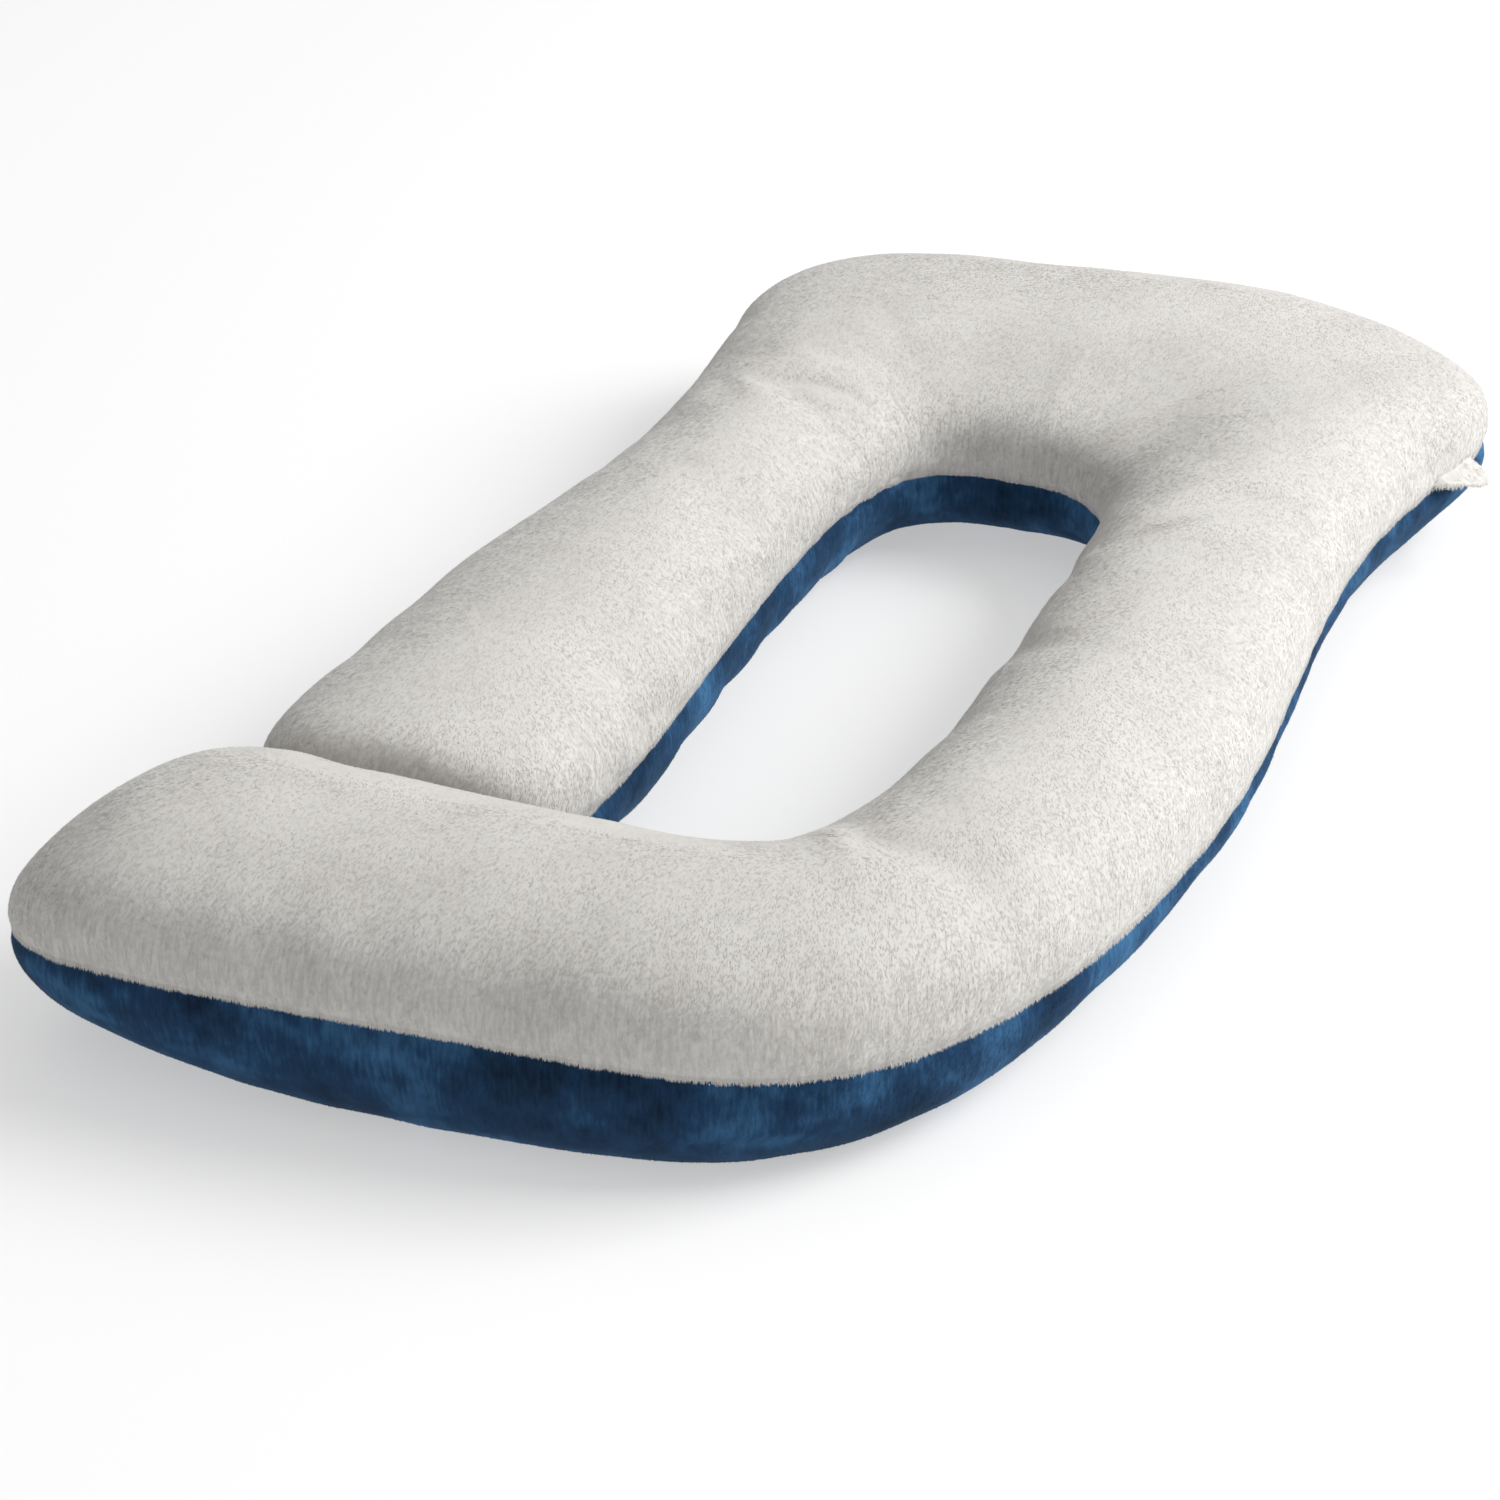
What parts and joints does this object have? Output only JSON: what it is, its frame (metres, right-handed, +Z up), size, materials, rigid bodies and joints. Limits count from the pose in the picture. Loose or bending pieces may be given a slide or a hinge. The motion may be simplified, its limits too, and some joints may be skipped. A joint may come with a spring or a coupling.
{
  "type": "pregnancy pillow",
  "caption": "Full-length U-shaped pregnancy pillow in two-tone plush, with one arm bent across the foot end.",
  "frame": {"origin": "middle of the pillow's footprint, on the surface that it lies on", "axes": "+Y along the pillow from the foot end to the closed head end, +X from the far arm to the near arm, +Z up"},
  "size_m": [1.035, 1.673, 0.2382],
  "materials": {
    "pale_plush": "matt, short pile",
    "dark_plush": "matt, short pile"
  },
  "bodies": {
    "root": {"top_panel": "pale_plush", "bottom_panel": "dark_plush"}
  },
  "joints": []
}
